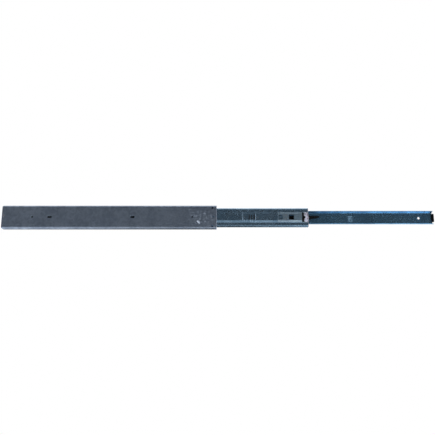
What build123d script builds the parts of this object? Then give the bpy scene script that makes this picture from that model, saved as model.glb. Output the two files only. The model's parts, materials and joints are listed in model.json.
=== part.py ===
from build123d import *
import os
from math import atan2, cos, degrees, radians, sin, sqrt, tan

# Full-extension ball-bearing cabinet drawer slide, drawn fully pulled out.
# +X is the pull direction, +Z is up along the slide's height, Y is its thickness.
# The origin is at the front end of the outer rail, at mid height, on the face
# that lies against the cabinet side. Everything is in millimetres.

# ---------------------------------------------------------------- driving sizes
SLIDE_HEIGHT = 45.0
SLIDE_THICKNESS = 12.7
OUTER_LENGTH = 406.4
MIDDLE_LENGTH = 372.0
INNER_LENGTH = 399.2
MIDDLE_FRONT = 173.0
INNER_FRONT = 411.2

OUTER_SHEET = 1.2
MIDDLE_SHEET = 1.0
INNER_SHEET = 1.0
CAGE_SHEET = 0.4
SKIN_SHEET = 0.5
BAND_REACH = 0.85
BALL_RADIUS = 2.0
RACE_RADIUS = 2.15
POCKET_RADIUS = 2.1
BALL_PITCH = 12.0
WEB_GAP = 0.9
WEB_RISE = 1.0

# ---------------------------------------------------------------- places along X
OUTER_REAR = -OUTER_LENGTH
MIDDLE_REAR = MIDDLE_FRONT - MIDDLE_LENGTH
INNER_REAR = INNER_FRONT - INNER_LENGTH

CABINET_SLOTS_X = (-316.3, -159.5)
CABINET_HOLES_X = (-349.3, -46.3)
SLOT_LENGTH = 8.8
CABINET_HOLE_RADIUS = 2.1
HOLE_CHAMFER = 0.3
REAR_TRIM = 2.0
DRAWER_HOLES_X = (97.6, 385.6)
DRAWER_HOLE_RADIUS = 2.3
DRAWER_RING_RADIUS = 4.7
ACCESS_HOLES_X = CABINET_SLOTS_X[1], CABINET_HOLES_X[1]
ACCESS_HOLE_RADIUS = 4.6

OUTER_CAGE = (-190.0, -11.6)
INNER_CAGE = (14.0, 134.0)
CAGE_END_MARGIN = 6.0

CAGE_STOP = (-8.2, 17.5)
CAGE_STOP_RADIUS = 2.8
CAGE_STOP_BORE = 2.0
CAGE_STOP_RISE = 1.0
FRONT_HOLE_X = -6.6
FRONT_HOLE_RADIUS = 1.6
BUMPER_PEG = (-402.7, 2.5)
BUMPER_PEG_RADIUS = 1.9

SEQUENCE_PLATE = (47.0, 82.0)
SEQUENCE_SLOTS_X = (61.6, 66.2, 71.0)
COINED_START = 48.7
COINED_LINES = 7
COINED_PITCH = 4.15
COINED_WIDTH = 1.0
COINED_DEPTH = 0.45
COINED_CLEAR = 5.9
STOP_PLATE = (115.5, 161.5)
PLATE_RECESS = (117.0, 125.0)
PLATE_WINDOW = (136.8, 146.4)
PLATE_WINDOW_HALF = 4.7
LATCH = (161.6, 168.0)
LATCH_HALF = 9.2
LATCH_BAND = 4.2
LATCH_PROUD = 0.35
LATCH_STOP_Y = 7.8
END_GUARD = (164.8, 173.0)
GUARD_LIP = 0.8
GUARD_PROUD = 0.3
PLATE_RIBS = (148.0, 160.0)
RIB_PITCH = 1.5
RIB_GROOVE = 0.7
RIB_DEPTH = 0.28
RIB_HALF = 6.0

STOP_LENGTH = 2.4
STOP_BACK_Y = 7.4
STOP_TONGUE = 1.6

LEVER_PIVOT_X = 118.0
LEVER_TIP_X = 196.0
LEVER_NOSE = (154.0, 161.3)
LEVER_NOSE_Y = 5.4
LEVER_Y = (8.2, 10.4)
LEVER_RIBS = 8
LEVER_RIB_PITCH = 2.1
LATCH_STEP_Z = -1.5
PIVOT_RADIUS = 2.0
PIVOT_CLEARANCE = 0.06
RIVET_RADIUS = 1.0
RIVET_HEAD_RADIUS = 1.7

# ---------------------------------------------------------------- cross-section
# The balls run on two pairs of rows. The middle rail's flange passes between a
# pair as an S, so it is the inner race of one row and the outer race of the next.
OUTER_BALL = (
    SLIDE_THICKNESS - OUTER_SHEET - RACE_RADIUS,
    SLIDE_HEIGHT / 2 - OUTER_SHEET - RACE_RADIUS,
)
MIDDLE_WEB_Y = OUTER_SHEET + WEB_GAP
SHOULDER_Y = MIDDLE_WEB_Y + WEB_RISE
INNER_BALL_Y = SHOULDER_Y + MIDDLE_SHEET + RACE_RADIUS
ROW_SPACING = 2 * RACE_RADIUS + MIDDLE_SHEET
ROW_RISE = sqrt(ROW_SPACING**2 - (OUTER_BALL[0] - INNER_BALL_Y) ** 2)
INNER_BALL = (INNER_BALL_Y, OUTER_BALL[1] - ROW_RISE)
INNER_WEB_Y = SLIDE_THICKNESS - INNER_SHEET

MIDDLE_FLAT_HALF = 6.2
MIDDLE_SLOPE_HALF = 10.3
MIDDLE_LIP_ANGLE = 327.0
INNER_LIP_ANGLE = 250.0
OUTER_BEND = 3.0
INNER_BEND = 1.1
INNER_SLANT = 20.0
HUMP_RADIUS = 1.0
HUMP_TURN = 15.0


# ---------------------------------------------------------------- sheet sections
def line(start, end):
    return ("line", start, end)


def arc(centre, radius, start, end):
    return ("arc", centre, radius, start, end)


def on_circle(centre, radius, angle):
    turn = radians(angle)
    return (centre[0] + radius * cos(turn), centre[1] + radius * sin(turn))


def shifted_line(piece, side):
    (y0, z0), (y1, z1) = piece[1], piece[2]
    length = sqrt((y1 - y0) ** 2 + (z1 - z0) ** 2)
    dy = -(z1 - z0) / length * side
    dz = (y1 - y0) / length * side
    return [(y0 + dy, z0 + dz), (y1 + dy, z1 + dz)]


def crossing(first, second):
    """The point where two straight lines, each given by two points, cross."""
    (ay, az), (by, bz) = first
    (cy, cz), (dy, dz) = second
    down = (by - ay) * (dz - cz) - (bz - az) * (dy - cy)
    along = ((cy - ay) * (dz - cz) - (cz - az) * (dy - cy)) / down
    return (ay + along * (by - ay), az + along * (bz - az))


def side_edges(path, side):
    """One side of a sheet whose middle line is path; side is + to the left."""
    lines = {i: shifted_line(p, side) for i, p in enumerate(path) if p[0] == "line"}
    for i in lines:
        if i + 1 in lines:
            meeting = crossing(lines[i], lines[i + 1])
            lines[i][1] = meeting
            lines[i + 1][0] = meeting
    edges = []
    for i, piece in enumerate(path):
        if piece[0] == "line":
            edges.append(("line", lines[i]))
            continue
        _, centre, middle_radius, start, end = piece
        radius = middle_radius - side if end > start else middle_radius + side
        angles = (start, (start + end) / 2, end)
        edges.append(("arc", [on_circle(centre, radius, a) for a in angles]))
    return edges


def drawn(edges, flip):
    made = []
    for kind, points in edges:
        spots = [(y, z * flip) for y, z in points]
        made.append(Line(*spots) if kind == "line" else ThreePointArc(*spots))
    return made


def rail(path, sheet, rear, front):
    """A roll-formed rail: path is the sheet's middle line from Z = 0 upwards."""
    left = side_edges(path, sheet / 2)
    right = side_edges(path, -sheet / 2)
    cap = ("line", [left[-1][1][-1], right[-1][1][-1]])
    outline = []
    for flip in (1, -1):
        outline += drawn(left + [cap] + right, flip)
    return along_x(Face(Wire(outline)), rear, front)


def along_x(profile, rear, front):
    """Extrude a YZ profile from rear to front."""
    section = Plane(origin=(rear, 0, 0), x_dir=(0, 1, 0), z_dir=(1, 0, 0))
    return extrude(section * profile, amount=front - rear, dir=(1, 0, 0))


def along_y(profile, low, high):
    """Extrude an XZ profile from y = low to y = high."""
    section = Plane(origin=(0, low, 0), x_dir=(1, 0, 0), z_dir=(0, -1, 0))
    return extrude(section * profile, amount=high - low, dir=(0, 1, 0))


def block(x, y, z):
    """A box from its (low, high) pairs."""
    size = [pair[1] - pair[0] for pair in (x, y, z)]
    middle = [(pair[1] + pair[0]) / 2 for pair in (x, y, z)]
    return Pos(*middle) * Box(*size)


def post(x, z, radius, low, high):
    """A round post or drill along Y."""
    return Pos(x, (low + high) / 2, z) * Rot(90, 0, 0) * Cylinder(radius, high - low)


def corner_trim(x, z, along, up):
    """A three-sided cutter through Y that takes off the corner at (x, z)."""
    corner = Polyline((x, z), (x + along, z), (x, z - up), close=True)
    return along_y(Face(corner), -1, SLIDE_THICKNESS + 1)


def slot(x, length, radius, low, high):
    """A slot cutter along X, driven through in Y."""
    shape = SlotOverall(length, 2 * radius)
    return along_y(Pos(x, 0) * shape, low, high)


def middle_path():
    """Middle line of the middle rail's sheet, from Z = 0 upwards."""
    web = MIDDLE_WEB_Y + MIDDLE_SHEET / 2
    shoulder = SHOULDER_Y + MIDDLE_SHEET / 2
    race = RACE_RADIUS + MIDDLE_SHEET / 2
    lean = degrees(atan2(ROW_RISE, OUTER_BALL[0] - INNER_BALL[0]))
    return [
        line((web, 0), (web, MIDDLE_FLAT_HALF)),
        line((web, MIDDLE_FLAT_HALF), (shoulder, MIDDLE_SLOPE_HALF)),
        line((shoulder, MIDDLE_SLOPE_HALF), (shoulder, INNER_BALL[1])),
        arc(INNER_BALL, race, 180, lean),
        arc(OUTER_BALL, race, 180 + lean, MIDDLE_LIP_ANGLE),
    ]


def web_band(outward, inward, rear, front):
    """A band along the middle rail's stepped web, outward and inward of its outside."""
    slope = side_edges(middle_path(), MIDDLE_SHEET / 2)[1][1]
    (near_y, near_z), (far_y, far_z) = slope
    edge_y = near_y + BAND_REACH * (far_y - near_y)
    edge_z = near_z + BAND_REACH * (far_z - near_z)
    upper = [
        (near_y + inward, near_z),
        (edge_y + inward, edge_z),
        (edge_y - outward, edge_z),
        (near_y - outward, near_z),
    ]
    lower = [(y, -z) for y, z in reversed(upper)]
    return along_x(Face(Polyline(*upper, *lower, close=True)), rear, front)


# ---------------------------------------------------------------- outer member
def outer_rail():
    web = OUTER_SHEET / 2
    bend_z = SLIDE_HEIGHT / 2 - OUTER_SHEET / 2 - OUTER_BEND
    bend = (web + OUTER_BEND, bend_z)
    flange_z = SLIDE_HEIGHT / 2 - OUTER_SHEET / 2
    path = [
        line((web, 0), (web, bend_z)),
        arc(bend, OUTER_BEND, 180, 90),
        line((bend[0], flange_z), (OUTER_BALL[0], flange_z)),
        arc(OUTER_BALL, RACE_RADIUS + OUTER_SHEET / 2, 90, 0),
    ]
    body = rail(path, OUTER_SHEET, OUTER_REAR, 0)
    through = (-1.0, OUTER_SHEET + 0.4)
    for x in CABINET_SLOTS_X:
        body -= slot(x, SLOT_LENGTH, CABINET_HOLE_RADIUS, *through)
    for x in CABINET_HOLES_X:
        body -= post(x, 0, CABINET_HOLE_RADIUS, *through)
    body -= post(FRONT_HOLE_X, 0, FRONT_HOLE_RADIUS, *through)
    body -= post(*BUMPER_PEG, BUMPER_PEG_RADIUS, *through)
    mouths = body.edges().filter_by_position(Axis.Y, -0.01, 0.01)
    mouths = mouths.filter_by_position(Axis.Z, -CABINET_HOLE_RADIUS - 0.1, CABINET_HOLE_RADIUS + 0.1)
    mouths = mouths.filter_by_position(Axis.X, OUTER_REAR + 10, FRONT_HOLE_X - 5)
    body = chamfer(mouths, HOLE_CHAMFER)
    for z in (-1, 1):
        body -= corner_trim(OUTER_REAR, z * SLIDE_HEIGHT / 2, REAR_TRIM, z * REAR_TRIM)
    for z in (-CAGE_STOP[1], CAGE_STOP[1]):
        collar = (OUTER_SHEET - 0.5, OUTER_SHEET + CAGE_STOP_RISE)
        body += post(CAGE_STOP[0], z, CAGE_STOP_RADIUS, *collar)
        body -= post(CAGE_STOP[0], z, CAGE_STOP_BORE, -1.0, collar[1] + 1)
    return body


def outer_rear_bumper():
    rear = OUTER_REAR + 0.6
    face = rear + 7.0
    body = block((rear, face), (OUTER_SHEET, 10.6), (-9.0, 9.0))
    body = fillet(body.edges().filter_by(Axis.Y), 1.5)
    body -= block((face - 2.0, face + 1), (4.0, 9.0), (-2.0, 2.0))
    body += post(*BUMPER_PEG, BUMPER_PEG_RADIUS, 0.1, OUTER_SHEET + 0.2)
    return body


# ---------------------------------------------------------------- middle member
def middle_rail():
    body = rail(middle_path(), MIDDLE_SHEET, MIDDLE_REAR, MIDDLE_FRONT)
    through = (MIDDLE_WEB_Y - 1, MIDDLE_WEB_Y + MIDDLE_SHEET + 1.2)
    for x in ACCESS_HOLES_X:
        body -= post(x, 0, ACCESS_HOLE_RADIUS, *through)
    for x in SEQUENCE_SLOTS_X:
        body -= block((x - 1.1, x + 1.1), through, (-4.6, 4.6))
    for n in range(COINED_LINES):
        rear = COINED_START + n * COINED_PITCH
        groove = web_band(0.5, COINED_DEPTH, rear, rear + COINED_WIDTH)
        if 0 < n < COINED_LINES - 1:
            groove -= block((rear - 1, rear + 2), (0, 6), (-COINED_CLEAR, COINED_CLEAR))
        body -= groove
    body -= block(PLATE_WINDOW, through, (-PLATE_WINDOW_HALF, PLATE_WINDOW_HALF))
    body -= along_y(latch_outline(), *through)
    for x, z in plate_rivet_places() + sequence_rivet_places():
        body -= post(x, z, RIVET_RADIUS, *through)
    return body


def plate_rivet_places():
    return [(130.9, z) for z in (-3.6, 3.6)]


def sequence_rivet_places():
    return [(52.0, 0.0), (78.5, 0.0)]


def latch_outline():
    """Outline of the stop latch in XZ: a band with one tooth that points forward."""
    rear, tip = LATCH
    front = rear + LATCH_BAND
    waist = front - 0.5
    half = LATCH_HALF
    points = [(rear, -half), (rear, half), (front, half), (front, 0.75 * half)]
    points += [(waist, 0.4 * half), (tip, 0.9), (tip, -0.9), (waist, -0.4 * half)]
    points += [(front, -0.75 * half), (front, -half)]
    return Face(Polyline(*points, close=True))


def sequence_plate():
    """Thin cam plate riveted inside the middle rail's web."""
    inside = MIDDLE_WEB_Y + MIDDLE_SHEET
    body = block(SEQUENCE_PLATE, (inside, inside + 0.7), (-5.6, 5.6))
    body = fillet(body.edges().filter_by(Axis.Y), 1.0)
    for x in SEQUENCE_SLOTS_X:
        body -= block((x - 1.1, x + 1.1), (inside - 1, inside + 2), (-4.6, 4.6))
    for x, z in sequence_rivet_places():
        body -= post(x, z, RIVET_RADIUS, inside - 1, inside + 2)
    return body


def stop_plate():
    """Doubler plate on the outside of the middle rail's web."""
    body = web_band(SKIN_SHEET, 0, *STOP_PLATE)
    half = PLATE_WINDOW_HALF
    cut = (MIDDLE_WEB_Y - 2, MIDDLE_WEB_Y + 2)
    body -= block(PLATE_RECESS, cut, (-half, half))
    body -= block(PLATE_WINDOW, cut, (-half, half))
    for x, z in plate_rivet_places():
        body -= post(x, z, RIVET_RADIUS, *cut)
    outside = MIDDLE_WEB_Y - SKIN_SHEET
    grooves = int((PLATE_RIBS[1] - PLATE_RIBS[0]) / RIB_PITCH)
    for n in range(grooves):
        low = PLATE_RIBS[0] + n * RIB_PITCH
        span = (low, low + RIB_GROOVE)
        body -= block(span, (outside - 1, outside + RIB_DEPTH), (-RIB_HALF, RIB_HALF))
    return body


def rivet(x, z, low, high, head_low):
    """Low round-head rivet set from low to high, its head towards the cabinet."""
    body = post(x, z, RIVET_RADIUS, low, high)
    if head_low < low:
        body += post(x, z, RIVET_HEAD_RADIUS, head_low, low)
    return body


def stop_plate_rivets():
    outside = MIDDLE_WEB_Y - SKIN_SHEET
    inside = MIDDLE_WEB_Y + MIDDLE_SHEET
    return [rivet(x, z, outside, inside, outside - 0.15) for x, z in plate_rivet_places()]


def sequence_rivets():
    inside = MIDDLE_WEB_Y + MIDDLE_SHEET + 0.7
    made = []
    for x, z in sequence_rivet_places():
        body = post(x, z, RIVET_RADIUS, MIDDLE_WEB_Y + 0.05, inside)
        made.append(body + post(x, z, RIVET_HEAD_RADIUS, inside, inside + 0.25))
    return made


def middle_rear_buffer():
    """Small moulded buffer clipped over the rear edge of the middle rail's web."""
    inside = MIDDLE_WEB_Y + MIDDLE_SHEET
    body = block((MIDDLE_REAR, MIDDLE_REAR + 6.0), (inside, inside + 1.0), (-5.0, 5.0))
    body = fillet(body.edges().filter_by(Axis.Y).group_by(Axis.X)[-1], 1.2)
    lip = (MIDDLE_REAR - 0.9, MIDDLE_REAR)
    return body + block(lip, (MIDDLE_WEB_Y + 0.1, inside + 1.0), (-5.0, 5.0))


def stop_latch():
    """Moulded stop that the lever's nose meets at full extension."""
    inside = MIDDLE_WEB_Y + MIDDLE_SHEET
    span = (LATCH[0], LATCH[0] + LATCH_BAND - 0.5)
    face = along_y(latch_outline(), MIDDLE_WEB_Y - 1, inside + 1.5)
    body = web_band(LATCH_PROUD, MIDDLE_SHEET, *LATCH) & face
    body += block(span, (inside - 0.3, inside + 0.9), (-5.4, 5.4))
    body += block(span, (inside + 0.5, LATCH_STOP_Y), (-5.4, LATCH_STEP_Z))
    return body


def end_guard():
    """Pale nylon cap over the front edge of the middle rail."""
    inside = MIDDLE_WEB_Y + MIDDLE_SHEET
    body = web_band(SKIN_SHEET, 0, *END_GUARD)
    body -= along_y(latch_outline(), MIDDLE_WEB_Y - 1, inside)
    body += block((LATCH[1], MIDDLE_FRONT), (inside, inside + 0.9), (-5.4, 5.4))
    lip = (MIDDLE_FRONT, MIDDLE_FRONT + GUARD_LIP)
    body += rail(middle_path(), MIDDLE_SHEET + 2 * GUARD_PROUD, *lip)
    body += block(lip, (MIDDLE_WEB_Y - SKIN_SHEET, inside + 0.9), (-5.4, 5.4))
    return body


# ---------------------------------------------------------------- inner member
def inner_path():
    """Middle line of the inner rail's sheet, from Z = 0 upwards."""
    web = INNER_WEB_Y + INNER_SHEET / 2
    race = RACE_RADIUS + INNER_SHEET / 2
    hump = on_circle(INNER_BALL, race + HUMP_RADIUS, 270 + HUMP_TURN)
    slant = 90 - INNER_SLANT
    rise = radians(INNER_SLANT)
    hump_start = on_circle(hump, HUMP_RADIUS, slant)
    bend_end_y = web - INNER_BEND + INNER_BEND * sin(rise)
    bend_end_z = hump_start[1] - (bend_end_y - hump_start[0]) * tan(rise)
    bend = (web - INNER_BEND, bend_end_z - INNER_BEND * cos(rise))
    return [
        line((web, 0), (web, bend[1])),
        arc(bend, INNER_BEND, 0, slant),
        line((bend_end_y, bend_end_z), hump_start),
        arc(hump, HUMP_RADIUS, slant, 90 + HUMP_TURN),
        arc(INNER_BALL, race, 270 + HUMP_TURN, INNER_LIP_ANGLE),
    ]


def inner_rail():
    body = rail(inner_path(), INNER_SHEET, INNER_REAR, INNER_FRONT)
    through = (INNER_WEB_Y - 2, SLIDE_THICKNESS + 1)
    for x in DRAWER_HOLES_X:
        body += post(x, 0, DRAWER_RING_RADIUS, INNER_WEB_Y - 0.6, INNER_WEB_Y + 0.2)
        body -= post(x, 0, DRAWER_RING_RADIUS - 0.9, INNER_WEB_Y - 1, INNER_WEB_Y)
        body -= post(x, 0, DRAWER_HOLE_RADIUS, *through)
    body -= post(LEVER_PIVOT_X, 0, PIVOT_RADIUS, *through)
    return body


def release_lever():
    """Moulded lever: pivot eye, stop nose and tapered, ribbed thumb tail."""
    shoulder = LEVER_TIP_X - 24.0
    outline = Polyline(
        (LEVER_PIVOT_X, -3.6),
        (shoulder, -3.8),
        (LEVER_TIP_X - 0.8, 0.6),
        (LEVER_TIP_X, 2.0),
        (LEVER_TIP_X - 0.8, 3.4),
        (shoulder, 4.2),
        (LEVER_PIVOT_X, 3.6),
        close=True,
    )
    body = along_y(Face(outline), *LEVER_Y)
    face = body.faces().sort_by(Axis.Y)[0]
    body = fillet(face.edges().filter_by_position(Axis.X, shoulder, LEVER_TIP_X), 0.5)
    body += post(LEVER_PIVOT_X, 0, 4.2, *LEVER_Y)
    body += block(LEVER_NOSE, (LEVER_NOSE_Y, LEVER_Y[0] + 0.1), (-3.4, 0.0))
    for n in range(LEVER_RIBS):
        x = shoulder + 3.0 + n * LEVER_RIB_PITCH
        body += block((x, x + 0.9), (LEVER_Y[0] - 0.5, LEVER_Y[0] + 0.1), (0.6, 3.0))
    body -= block((126.0, 150.0), (LEVER_Y[0] - 1, LEVER_Y[0] + 0.8), (-2.0, 2.0))
    body -= post(LEVER_PIVOT_X, 0, PIVOT_RADIUS + PIVOT_CLEARANCE, *LEVER_Y)
    return body


def lever_rivet():
    body = post(LEVER_PIVOT_X, 0, PIVOT_RADIUS, 7.8, SLIDE_THICKNESS)
    body += post(LEVER_PIVOT_X, 0, 3.6, 6.9, 7.9)
    body += post(LEVER_PIVOT_X, 0, 3.4, LEVER_Y[1] + 0.2, INNER_WEB_Y)
    return body


def lever_spring():
    """Leaf spring above the lever, its foot on the inner rail's web."""
    blade = Polyline((124.0, 8.6), (127.0, 8.6), (150.0, 4.6), (152.5, 4.5))
    strip = trace(blade, 0.4)
    body = along_y(strip, 8.6, 10.0)
    body += block((124.0, 127.0), (8.6, INNER_WEB_Y), (8.4, 8.8))
    body += block((124.0, 127.0), (INNER_WEB_Y - 0.4, INNER_WEB_Y), (6.4, 8.8))
    return body


def inner_end_stop():
    """Black plug that closes the front end of the inner rail."""
    body = block((INNER_FRONT, INNER_FRONT + STOP_LENGTH), (STOP_BACK_Y, SLIDE_THICKNESS), (-8.0, 8.0))
    body = fillet(body.edges().filter_by(Axis.X), 1.5)
    body = fillet(body.faces().sort_by(Axis.X)[-1].edges(), 0.8)
    body += block((INNER_FRONT - STOP_TONGUE, INNER_FRONT + 1), (9.6, INNER_WEB_Y), (-5.0, 5.0))
    return body


# ---------------------------------------------------------------- ball cages
def ball_places(span):
    first = span[0] + CAGE_END_MARGIN
    room = span[1] - CAGE_END_MARGIN - first
    count = int(room / BALL_PITCH) + 1
    start = first + (room - (count - 1) * BALL_PITCH) / 2
    return [start + n * BALL_PITCH for n in range(count)]


def cage(span, web_y, ball, edge_y, windows):
    """Channel-shaped ball retainer: a web with two pierced flanges."""
    top = ball[1] + CAGE_SHEET / 2
    body = block(span, (web_y, edge_y), (-top, top))
    hollow = top - CAGE_SHEET
    body -= block((span[0] - 1, span[1] + 1), (web_y + CAGE_SHEET, edge_y + 1), (-hollow, hollow))
    depth = 2 * POCKET_RADIUS
    for x in ball_places(span):
        for z in (-ball[1], ball[1]):
            body -= Pos(x, ball[0], z) * Cylinder(POCKET_RADIUS, depth)
    for low, high in windows:
        body -= block((low, high), (web_y - 1, web_y + 1), (-6.0, 6.0))
    return body


def balls(span, ball, side):
    """One row of steel balls."""
    return [Pos(x, ball[0], side * ball[1]) * Sphere(BALL_RADIUS) for x in ball_places(span)]


def cage_windows(places):
    return [(x - 8.0, x + 8.0) for x in places]


OUTER_CAGE_Y = OUTER_SHEET + (WEB_GAP - CAGE_SHEET) / 2
INNER_CAGE_Y = SHOULDER_Y + MIDDLE_SHEET + 0.3


# ---------------------------------------------------------------- all the pieces
def pieces():
    outer_windows = cage_windows(ACCESS_HOLES_X)
    inner_windows = cage_windows([DRAWER_HOLES_X[0]])
    return {
        "outer_rail": outer_rail(),
        "outer_rear_bumper": outer_rear_bumper(),
        "outer_ball_cage": cage(OUTER_CAGE, OUTER_CAGE_Y, OUTER_BALL, 11.2, outer_windows),
        "outer_balls_upper": balls(OUTER_CAGE, OUTER_BALL, 1),
        "outer_balls_lower": balls(OUTER_CAGE, OUTER_BALL, -1),
        "middle_rail": middle_rail(),
        "sequence_plate": sequence_plate(),
        "sequence_rivets": sequence_rivets(),
        "stop_plate": stop_plate(),
        "stop_plate_rivets": stop_plate_rivets(),
        "middle_rear_buffer": middle_rear_buffer(),
        "stop_latch": stop_latch(),
        "end_guard": end_guard(),
        "inner_ball_cage": cage(INNER_CAGE, INNER_CAGE_Y, INNER_BALL, 9.9, inner_windows),
        "inner_balls_upper": balls(INNER_CAGE, INNER_BALL, 1),
        "inner_balls_lower": balls(INNER_CAGE, INNER_BALL, -1),
        "inner_rail": inner_rail(),
        "release_lever": release_lever(),
        "lever_rivet": lever_rivet(),
        "lever_spring": lever_spring(),
        "inner_end_stop": inner_end_stop(),
    }


def write(name, shape):
    solids = shape if isinstance(shape, list) else [shape]
    export_step(Compound(children=solids), f"parts/{name}.step")


os.makedirs("parts", exist_ok=True)
for name, shape in pieces().items():
    write(name, shape)
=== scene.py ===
import json
import math

import bmesh
import bpy
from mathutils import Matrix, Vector

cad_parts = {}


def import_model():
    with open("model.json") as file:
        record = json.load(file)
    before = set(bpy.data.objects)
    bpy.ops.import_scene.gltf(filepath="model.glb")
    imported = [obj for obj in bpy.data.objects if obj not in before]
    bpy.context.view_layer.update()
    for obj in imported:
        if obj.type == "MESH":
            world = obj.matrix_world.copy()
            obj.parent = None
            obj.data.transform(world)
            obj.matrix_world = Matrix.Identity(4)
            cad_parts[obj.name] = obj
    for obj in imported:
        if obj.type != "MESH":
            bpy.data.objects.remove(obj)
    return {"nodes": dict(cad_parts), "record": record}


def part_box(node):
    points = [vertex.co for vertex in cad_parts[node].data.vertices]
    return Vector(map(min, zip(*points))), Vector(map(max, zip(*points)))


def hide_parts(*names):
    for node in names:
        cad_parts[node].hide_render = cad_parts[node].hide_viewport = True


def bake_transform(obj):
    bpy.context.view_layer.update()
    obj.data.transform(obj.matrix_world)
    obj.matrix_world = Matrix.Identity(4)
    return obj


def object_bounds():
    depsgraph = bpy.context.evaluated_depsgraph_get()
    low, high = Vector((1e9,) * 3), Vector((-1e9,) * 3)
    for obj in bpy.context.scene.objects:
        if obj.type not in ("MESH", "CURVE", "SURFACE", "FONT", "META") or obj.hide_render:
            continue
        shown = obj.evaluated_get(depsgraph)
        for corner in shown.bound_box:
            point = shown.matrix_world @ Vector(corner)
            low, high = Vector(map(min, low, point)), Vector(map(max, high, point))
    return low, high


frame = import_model()
cad_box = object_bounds()

MM = 0.001

# Camera: degrees above the horizon, metres away, and how the frame sits round the slide.
CAMERA_RISE = -13.0
CAMERA_DISTANCE = 1.05
CAMERA_SENSOR = 36.0
FRAME_WIDTH = 1.0025
AIM_SHIFT_X = -0.0021
AIM_Z = -0.0013

# Stage: the floor's height, reach and back edge, and its own faint glow.
FLOOR_LEVEL = -0.62
FLOOR_REACH = 40.0
FLOOR_BACK = 1.2
FLOOR_GLOW = 0.42

# The leaf spring's flat foot, its flat tip, and how many pieces its blade is cut into.
SPRING_FOOT = 3.0 * MM
SPRING_TIP = 2.5 * MM
SPRING_CUTS = 10

# Studio light from below: how bright the sides are, and how dark the middle is.
SIDE_LEVEL = 2.2
MIDDLE_SHADE = 0.85

# The look of each metal slot: base colour, darker patches, roughness, size of the clouds and scuffs.
ZINC = {
    "outer_zinc": dict(
        light=(0.426, 0.496, 0.616),
        dark=(0.281, 0.338, 0.439),
        rough=(0.36, 0.46),
        mottle=120.0,
        scuffs=0.50,
    ),
    "middle_zinc": dict(
        light=(0.387, 0.576, 0.765),
        dark=(0.252, 0.410, 0.576),
        rough=(0.20, 0.28),
        mottle=80.0,
        scuffs=0.22,
    ),
    "inner_zinc": dict(
        light=(0.306, 0.585, 0.846),
        dark=(0.189, 0.400, 0.621),
        rough=(0.20, 0.28),
        mottle=70.0,
        scuffs=0.20,
    ),
    "plate_zinc": dict(
        light=(0.630, 0.819, 0.960),
        dark=(0.423, 0.572, 0.720),
        rough=(0.28, 0.40),
        mottle=150.0,
        scuffs=0.35,
    ),
    "cage_steel": dict(
        light=(0.180, 0.189, 0.207),
        dark=(0.099, 0.104, 0.119),
        rough=(0.34, 0.48),
        mottle=110.0,
        scuffs=0.20,
    ),
    "rivet_steel": dict(
        light=(0.612, 0.702, 0.792),
        dark=(0.414, 0.495, 0.576),
        rough=(0.26, 0.40),
        mottle=300.0,
        scuffs=0.30,
    ),
    "spring_steel": dict(
        light=(0.540, 0.558, 0.612),
        dark=(0.360, 0.369, 0.405),
        rough=(0.22, 0.34),
        mottle=200.0,
        scuffs=0.20,
    ),
}


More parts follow.
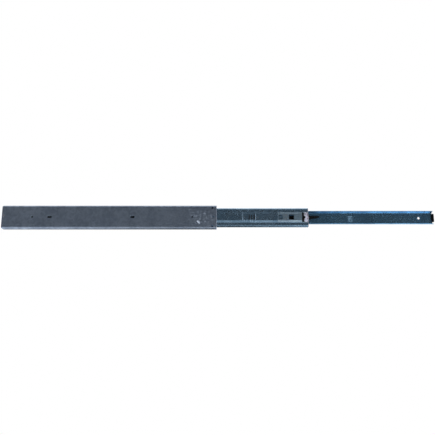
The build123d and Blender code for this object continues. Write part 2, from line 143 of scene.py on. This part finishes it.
# ------------------------------------------------------------------ shader helpers
class Graph:
    """Short calls for building one material's node tree."""

    def __init__(self, name):
        self.material = bpy.data.materials.new(name)
        self.material.use_nodes = True
        self.nodes = self.material.node_tree.nodes
        self.links = self.material.node_tree.links
        self.nodes.clear()
        self.output = self.nodes.new("ShaderNodeOutputMaterial")
        self.shader = self.nodes.new("ShaderNodeBsdfPrincipled")
        self.link(self.shader.outputs["BSDF"], self.output.inputs["Surface"])
        self.place = self.nodes.new("ShaderNodeTexCoord").outputs["Object"]

    def link(self, source, target):
        self.links.new(source, target)

    def feed(self, value, target):
        """Puts a link or a plain value on a socket."""
        if isinstance(value, bpy.types.NodeSocket):
            self.link(value, target)
        else:
            target.default_value = value

    def stretched(self, scale, turn=(0, 0, 0)):
        node = self.nodes.new("ShaderNodeMapping")
        node.inputs["Scale"].default_value = scale
        node.inputs["Rotation"].default_value = turn
        self.link(self.place, node.inputs["Vector"])
        return node.outputs["Vector"]

    def noise(self, scale, detail=4.0, roughness=0.6, distortion=0.0, vector=None):
        node = self.nodes.new("ShaderNodeTexNoise")
        node.inputs["Scale"].default_value = scale
        node.inputs["Detail"].default_value = detail
        node.inputs["Roughness"].default_value = roughness
        node.inputs["Distortion"].default_value = distortion
        self.link(vector or self.place, node.inputs["Vector"])
        return node.outputs["Fac"]

    def ramp(self, value, low, high, start=0.0, end=1.0):
        node = self.nodes.new("ShaderNodeMapRange")
        node.interpolation_type = "SMOOTHSTEP"
        node.inputs["From Min"].default_value = low
        node.inputs["From Max"].default_value = high
        node.inputs["To Min"].default_value = start
        node.inputs["To Max"].default_value = end
        self.link(value, node.inputs["Value"])
        return node.outputs["Result"]

    def math(self, operation, first, second=0.0):
        node = self.nodes.new("ShaderNodeMath")
        node.operation = operation
        self.feed(first, node.inputs[0])
        self.feed(second, node.inputs[1])
        return node.outputs["Value"]

    def mix(self, factor, first, second):
        node = self.nodes.new("ShaderNodeMix")
        node.data_type = "RGBA"
        self.feed(factor, node.inputs["Factor"])
        self.feed(colour(first), node.inputs["A"])
        self.feed(colour(second), node.inputs["B"])
        return node.outputs["Result"]

    def bump(self, height, distance, strength=0.6, under=None):
        node = self.nodes.new("ShaderNodeBump")
        node.inputs["Strength"].default_value = strength
        node.inputs["Distance"].default_value = distance
        self.link(height, node.inputs["Height"])
        if under is not None:
            self.link(under, node.inputs["Normal"])
        return node.outputs["Normal"]

    def axis(self, name):
        node = self.nodes.new("ShaderNodeSeparateXYZ")
        self.link(self.place, node.inputs["Vector"])
        return node.outputs[name]

    def spot(self, x, z, half_x, half_z, turn=0.0):
        """1 inside a soft-edged ellipse in XZ, turned about Y; 0 outside it."""
        dx = self.math("SUBTRACT", self.axis("X"), x)
        dz = self.math("SUBTRACT", self.axis("Z"), z)
        cosine, sine = math.cos(turn), math.sin(turn)
        across = self.math("ADD", self.math("MULTIPLY", dx, cosine), self.math("MULTIPLY", dz, sine))
        along = self.math("SUBTRACT", self.math("MULTIPLY", dz, cosine), self.math("MULTIPLY", dx, sine))
        far = []
        for away, half in ((across, half_x), (along, half_z)):
            far.append(self.math("POWER", self.math("ABSOLUTE", self.math("DIVIDE", away, half)), 2.0))
        return self.ramp(self.math("ADD", *far), 0.5, 1.3, 1.0, 0.0)

    def near(self, x, z, reach_x, reach_z):
        """Fades from 1 at a place in XZ to 0 at its reach."""
        far = []
        for name, place, reach in (("X", x, reach_x), ("Z", z, reach_z)):
            away = self.math("DIVIDE", self.math("SUBTRACT", self.axis(name), place), reach)
            far.append(self.math("POWER", self.math("ABSOLUTE", away), 2.0))
        return self.ramp(self.math("ADD", *far), 0.2, 1.0, 1.0, 0.0)

    def beyond(self, x):
        return self.ramp(self.axis("X"), x - 0.0002, x + 0.0002)

    def finish(self, **sockets):
        for name, value in sockets.items():
            self.feed(value, self.shader.inputs[name.replace("_", " ")])
        return self.material


def colour(value):
    return (*value, 1.0) if isinstance(value, tuple) and len(value) == 3 else value


# ------------------------------------------------------------------ materials
def zinc(slot, marks_and_highlights=None):
    """Zinc-plated sheet: clouded plating, drawn grain along X, fine scuffs, pale matt smears and painted
    highlights.
    """
    look = ZINC[slot]
    g = Graph(slot)
    clouds = g.noise(look["mottle"], 5.0, 0.62, 0.4)
    wide = g.noise(look["mottle"] * 0.22, 3.0, 0.5)
    grain = g.noise(60.0, 6.0, 0.7, vector=g.stretched((1.0, 30.0, 30.0)))
    speckle = g.noise(1900.0, 2.0, 0.5)
    patches = g.ramp(g.math("ADD", clouds, g.math("MULTIPLY", wide, 0.6)), 0.62, 1.0)
    base = g.mix(patches, look["dark"], look["light"])
    base = g.mix(g.ramp(speckle, 0.52, 0.70, 0.0, 0.20), base, look["light"])

    # fine scratches in three directions, broken up by a wider noise
    pale = tuple(min(0.97, c * 1.15 + 0.03) for c in look["light"])
    scratch = None
    for turn, scale in ((0.5, 38.0), (-0.35, 55.0), (1.2, 30.0)):
        streaks = g.noise(scale, 2.0, 0.4, vector=g.stretched((1.0, 26.0, 26.0), (0, turn, 0)))
        thin = g.ramp(streaks, 0.67, 0.72)
        scratch = thin if scratch is None else g.math("MAXIMUM", scratch, thin)
    broken = g.ramp(g.noise(55.0, 2.0, 0.5), 0.50, 0.66)
    scratch = g.math("MULTIPLY", g.math("MULTIPLY", scratch, broken), look["scuffs"])
    base = g.mix(scratch, base, pale)

    low, high = look["rough"]
    rough = g.ramp(clouds, 0.3, 0.7, high, low)
    rough = g.math("ADD", rough, g.math("MULTIPLY", grain, 0.08))
    metal = g.math("SUBTRACT", 0.97, g.math("MULTIPLY", scratch, 0.5))
    # each rail's list lays on pale matt colour: real smears and bars, and painted highlights on edges
    for tint, amount in marks_and_highlights(g) if marks_and_highlights else ():
        base = g.mix(amount, base, tint)
        metal = g.math("MULTIPLY", metal, g.math("SUBTRACT", 1.0, amount))
        rough = g.math("MAXIMUM", rough, g.math("MULTIPLY", amount, 0.6))
    surface = g.bump(grain, 0.00006, 0.35)
    surface = g.bump(clouds, 0.00015, 0.30, surface)
    surface = g.bump(speckle, 0.00002, 0.25, surface)
    return g.finish(Base_Color=base, Metallic=metal, Roughness=rough, Normal=surface)


def outer_marks_and_edge_highlight(g):
    """Marks on the outer rail: a painted highlight along its front edge, a pale spot and the smears
    round it.
    """
    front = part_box("outer_rail")[1].x
    blotches = g.ramp(g.noise(240.0, 4.0, 0.6), 0.50, 0.66)
    smear = g.math("MULTIPLY", g.near(front - 0.030, 0.0, 0.030, 0.016), blotches)
    # a pale oval spot on the web, about 34 mm behind the front edge, turned slightly
    pale_spot = g.spot(front - 0.0345, -0.0100, 0.0040, 0.0021, -0.9)
    patchy = g.ramp(g.noise(420.0, 3.0, 0.6), 0.30, 0.55, 0.35, 1.0)
    # painted highlight: a pale matt strip along the front edge, standing in for light caught by the cut
    # edge
    painted_edge_highlight = g.math("MULTIPLY", g.beyond(front - 0.0007), patchy)
    return [
        ((0.30, 0.36, 0.42), g.math("MULTIPLY", smear, 0.34)),
        ((0.50, 0.56, 0.66), g.math("MULTIPLY", pale_spot, 0.80)),
        ((0.42, 0.46, 0.54), g.math("MULTIPLY", painted_edge_highlight, 0.60)),
    ]


def middle_painted_highlights(g):
    """Painted highlights: bright lines across the middle rail, on and beside its coined stripes, where
    their edges catch light.
    """
    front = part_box("middle_rail")[1].x
    rail_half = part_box("middle_rail")[1].z
    found = []
    # painted highlights standing in for light caught on the coined lines' edges
    for back in (0.1238, 0.0991):
        line = g.spot(front - back, 0.0, 0.0005, rail_half * 0.6)
        found.append(((0.42, 0.54, 0.68), g.math("MULTIPLY", line, 0.70)))
    for back in (0.1205, 0.1163, 0.1091, 0.1049):
        line = g.spot(front - back, -rail_half * 0.38, 0.0005, 0.0026)
        found.append(((0.38, 0.50, 0.64), g.math("MULTIPLY", line, 0.55)))
    return found


def inner_marks(g):
    """Three plain worn bars on the inner rail's face."""
    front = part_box("inner_rail")[1].x
    patchy = g.ramp(g.noise(500.0, 3.0, 0.6), 0.34, 0.60, 0.25, 1.0)
    found = []
    for z in (-0.0055, -0.0014, 0.0027):
        bar = g.math("MULTIPLY", g.spot(front - 0.1565, z, 0.0062, 0.0013), patchy)
        found.append(((0.34, 0.50, 0.66), g.math("MULTIPLY", bar, 0.60)))
    return found


def ball_steel():
    """Polished chrome-steel balls with a thin film of grease."""
    g = Graph("ball_steel")
    film = g.noise(260.0, 3.0, 0.5)
    base = g.mix(g.ramp(film, 0.35, 0.7), (0.72, 0.73, 0.75), (0.86, 0.87, 0.89))
    rough = g.ramp(film, 0.3, 0.75, 0.07, 0.20)
    surface = g.bump(film, 0.00002, 0.2)
    return g.finish(Base_Color=base, Metallic=1.0, Roughness=rough, Normal=surface)


def black_plastic():
    """Moulded black acetal: spark-eroded grain and slightly greyed high spots."""
    g = Graph("black_plastic")
    grain = g.noise(2600.0, 3.0, 0.6)
    cloud = g.noise(160.0, 3.0, 0.5)
    base = g.mix(g.ramp(cloud, 0.35, 0.75), (0.0022, 0.0022, 0.003), (0.006, 0.0062, 0.008))
    base = g.mix(g.ramp(grain, 0.60, 0.75, 0.0, 0.30), base, (0.018, 0.019, 0.022))
    rough = g.ramp(cloud, 0.3, 0.7, 0.42, 0.58)
    surface = g.bump(grain, 0.00004, 0.5)
    g.shader.inputs["Specular IOR Level"].default_value = 0.22
    return g.finish(Base_Color=base, Roughness=rough, Normal=surface)


def pale_nylon():
    """Natural nylon gone grey: milky, bluish and warm in patches, soft shine."""
    g = Graph("pale_nylon")
    cloud = g.noise(330.0, 4.0, 0.6, 0.8)
    fine = g.noise(1800.0, 2.0, 0.5)
    base = g.mix(g.ramp(cloud, 0.40, 0.60), (0.130, 0.160, 0.185), (0.480, 0.470, 0.580))
    base = g.mix(g.ramp(g.noise(190.0, 3.0, 0.5), 0.52, 0.66), base, (0.16, 0.13, 0.15))
    rough = g.ramp(cloud, 0.3, 0.7, 0.36, 0.52)
    surface = g.bump(fine, 0.00003, 0.4)
    g.shader.inputs["Subsurface Weight"].default_value = 0.08
    g.shader.inputs["Subsurface Scale"].default_value = 0.002
    return g.finish(Base_Color=base, Roughness=rough, Normal=surface)


# ------------------------------------------------------------------ camera, stage, light
def look_at(obj, target):
    obj.rotation_euler = (Vector(target) - obj.location).to_track_quat("-Z", "Y").to_euler()


def camera():
    """Cabinet side, from a little below the slide."""
    low, high = cad_box
    rise = math.radians(CAMERA_RISE)
    distance = CAMERA_DISTANCE
    target = Vector(((low.x + high.x) / 2 + AIM_SHIFT_X, 0.0, AIM_Z))
    data = bpy.data.cameras.new("camera")
    data.sensor_width = CAMERA_SENSOR
    data.lens = data.sensor_width * distance / ((high.x - low.x) * FRAME_WIDTH)
    cam = bpy.data.objects.new("camera", data)
    bpy.context.collection.objects.link(cam)
    cam.location = target + distance * Vector((0.0, -math.cos(rise), math.sin(rise)))
    look_at(cam, target)
    bpy.context.scene.camera = cam


def sheet(name, corners, material):
    """One flat four-cornered stage surface."""
    mesh = bpy.data.meshes.new(name)
    mesh.from_pydata(corners, [], [(0, 1, 2, 3)])
    mesh.materials.append(material)
    surface = bpy.data.objects.new(name, mesh)
    bpy.context.collection.objects.link(surface)
    return surface


def floor_paper():
    g = Graph("floor_paper")
    tone = g.noise(3.0, 2.0, 0.5)
    base = g.mix(g.ramp(tone, 0.3, 0.7), (0.90, 0.90, 0.90), (0.93, 0.93, 0.93))
    glow = (0.95, 0.97, 1.0, 1.0)
    return g.finish(Base_Color=base, Roughness=0.9, Emission_Color=glow, Emission_Strength=FLOOR_GLOW)


def painted_shade_card():
    """Painted shade: a black card seen from its front only, and left out of all lighting, standing in
    for the shade inside the outer rail's channel.
    """
    g = Graph("painted_shade_card")
    tone = g.noise(90.0, 2.0, 0.5)
    g.finish(Base_Color=g.mix(tone, (0.004, 0.004, 0.005), (0.007, 0.007, 0.009)), Roughness=0.9)
    clear = g.nodes.new("ShaderNodeBsdfTransparent")
    chooser = g.nodes.new("ShaderNodeMixShader")
    side = g.nodes.new("ShaderNodeNewGeometry").outputs["Backfacing"]
    g.link(side, chooser.inputs["Fac"])
    g.link(g.shader.outputs["BSDF"], chooser.inputs[1])
    g.link(clear.outputs["BSDF"], chooser.inputs[2])
    g.link(chooser.outputs["Shader"], g.output.inputs["Surface"])
    return g.material


def stage():
    """A pale floor well below the slide, and a black card of painted shade behind the outer rail's
    channel.
    """
    reach, level = FLOOR_REACH, FLOOR_LEVEL
    near, far = -reach, FLOOR_BACK
    corners = [(-reach, near, level), (reach, near, level), (reach, far, level), (-reach, far, level)]
    floor = sheet("floor", corners, floor_paper())
    floor.visible_glossy = False
    # painted shade: the black card behind the channel makes its holes look dark, as the shade inside it
    # would
    low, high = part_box("outer_rail")
    half = high.z * 0.80
    y = high.y + 0.1 * MM
    inset = 1.0 * MM
    left, right = low.x + inset, high.x - inset
    corners = [(left, y, -half), (right, y, -half), (right, y, half), (left, y, half)]
    card = sheet("painted_shade_card", corners, painted_shade_card())
    card.visible_diffuse = False
    card.visible_glossy = False
    card.visible_shadow = False


def area_light(name, place, target, size, power, tint=(1, 1, 1)):
    data = bpy.data.lights.new(name, "AREA")
    data.shape = "RECTANGLE"
    data.size, data.size_y = size
    data.energy = power
    data.color = tint
    lamp = bpy.data.objects.new(name, data)
    bpy.context.collection.objects.link(lamp)
    lamp.location = place
    lamp.visible_camera = False
    lamp.visible_glossy = False
    look_at(lamp, target)


# Studio surroundings as seen from the slide: degrees up from the horizon in front (90 is
# straight up, 180 behind, negative is down) and the brightness there.
SURROUND = (
    (-180, 0.044),
    (-150, 0.044),
    (-100, 0.078),
    (-80, 0.222),
    (-60, 0.306),
    (-34, 0.289),
    (-24, 0.4),
    (-8, 0.378),
    (2, 0.089),
    (24, 0.056),
    (34, 0.014),
    (46, 0.014),
    (60, 1.0),
    (105, 1.0),
    (125, 0.444),
    (150, 0.156),
    (180, 0.044),
)


def world():
    """White to the camera; to everything else a soft studio with bands of light and shade."""
    scene_world = bpy.data.worlds.new("studio")
    scene_world.use_nodes = True
    bpy.context.scene.world = scene_world
    nodes, links = scene_world.node_tree.nodes, scene_world.node_tree.links
    nodes.clear()

    def maths(operation, *values):
        node = nodes.new("ShaderNodeMath")
        node.operation = operation
        for place, value in enumerate(values):
            if isinstance(value, (int, float)):
                node.inputs[place].default_value = value
            else:
                links.new(value, node.inputs[place])
        return node.outputs["Value"]

    def background(strength, tint):
        node = nodes.new("ShaderNodeBackground")
        node.inputs["Color"].default_value = (*tint, 1.0)
        if isinstance(strength, (int, float)):
            node.inputs["Strength"].default_value = strength
        else:
            links.new(strength, node.inputs["Strength"])
        return node.outputs["Background"]

    direction = nodes.new("ShaderNodeSeparateXYZ")
    links.new(nodes.new("ShaderNodeTexCoord").outputs["Generated"], direction.inputs["Vector"])
    x, y, z = (direction.outputs[name] for name in "XYZ")
    turn = maths("DIVIDE", maths("ARCTAN2", z, maths("MULTIPLY", y, -1.0)), 2 * math.pi)
    place = maths("ADD", turn, 0.5)
    bands = nodes.new("ShaderNodeValToRGB")
    bands.color_ramp.interpolation = "EASE"
    stops = bands.color_ramp.elements
    while len(stops) < len(SURROUND):
        stops.new(0.5)
    for stop, (degrees, level) in zip(stops, SURROUND):
        stop.position = (degrees + 180) / 360
        stop.color = (level, level, level, 1.0)
    links.new(place, bands.inputs["Fac"])

    def fade(value, low, high):
        node = nodes.new("ShaderNodeMapRange")
        node.interpolation_type = "SMOOTHSTEP"
        node.inputs["From Min"].default_value = low
        node.inputs["From Max"].default_value = high
        links.new(value, node.inputs["Value"])
        return node.outputs["Result"]

    # well below the horizon only the two sides are bright
    left = fade(maths("MULTIPLY", x, -1.0), 0.22, 0.29)
    sides = maths("MAXIMUM", left, fade(x, 0.10, 0.32))
    down = maths("MULTIPLY", z, -1.0)
    shade = maths("MULTIPLY", fade(down, 0.34, 0.46), maths("SUBTRACT", 1.0, sides))
    below = maths("MULTIPLY", maths("MULTIPLY", sides, maths("MAXIMUM", down, 0.0)), SIDE_LEVEL)
    level = maths("ADD", bands.outputs["Color"], below)
    level = maths("MULTIPLY", level, maths("SUBTRACT", 1.0, maths("MULTIPLY", shade, MIDDLE_SHADE)))

    ray = nodes.new("ShaderNodeLightPath")
    chooser = nodes.new("ShaderNodeMixShader")
    output = nodes.new("ShaderNodeOutputWorld")
    links.new(ray.outputs["Is Camera Ray"], chooser.inputs["Fac"])
    links.new(background(level, (0.93, 0.97, 1.0)), chooser.inputs[1])
    links.new(background(1.0, (1.0, 1.0, 1.0)), chooser.inputs[2])
    links.new(chooser.outputs["Shader"], output.inputs["Surface"])


def lights():
    middle = (0.0, 0.0, 0.0)
    area_light("key_top_front", (-0.25, -1.0, 1.1), middle, (1.4, 0.8), 6.0)
    area_light("back_top", (0.1, 1.1, 1.3), middle, (1.6, 1.0), 8.0)
    area_light("floor_wash", (0.0, 0.3, 2.6), (0, 0, -0.6), (4.0, 4.0), 90.0)


# ------------------------------------------------------------------ dressing
def paint(node, material):
    """Gives a CAD node its material."""
    obj = frame["nodes"][node]
    obj.data.materials.clear()
    obj.data.materials.append(material)


def dress():
    slots = {row["node"]: row["material_slot"] for row in frame["record"]["subparts"]}
    marks_and_highlights = {"outer_zinc": outer_marks_and_edge_highlight, "middle_zinc": middle_painted_highlights, "inner_zinc": inner_marks}
    made = {name: zinc(name, marks_and_highlights.get(name)) for name in ZINC}
    made["ball_steel"] = ball_steel()
    made["black_plastic"] = black_plastic()
    made["pale_nylon"] = pale_nylon()
    for node, slot in slots.items():
        paint(node, made[slot])


def bending_spring():
    """The lever's leaf spring, copied and cut across its blade between its flat foot and flat tip: foot
    on the rail, tip on the lever.
    """
    node = frame["nodes"]["lever_spring"]
    low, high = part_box("lever_spring")
    foot, tip = low.x + SPRING_FOOT, high.x - SPRING_TIP
    mesh = node.data.copy()
    spring = bpy.data.objects.new("lever_spring_bending", mesh)
    bpy.context.collection.objects.link(spring)
    spring.data.transform(node.matrix_world)
    work = bmesh.new()
    work.from_mesh(mesh)
    for n in range(1, SPRING_CUTS):
        x = foot + (tip - foot) * n / SPRING_CUTS
        parts = work.verts[:] + work.edges[:] + work.faces[:]
        bmesh.ops.bisect_plane(work, geom=parts, plane_co=(x, 0, 0), plane_no=(1, 0, 0))
    work.to_mesh(mesh)
    work.free()
    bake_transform(spring)
    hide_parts("lever_spring")


camera()
stage()
world()
lights()
dress()
bending_spring()

bpy.context.scene.view_settings.view_transform = "Standard"
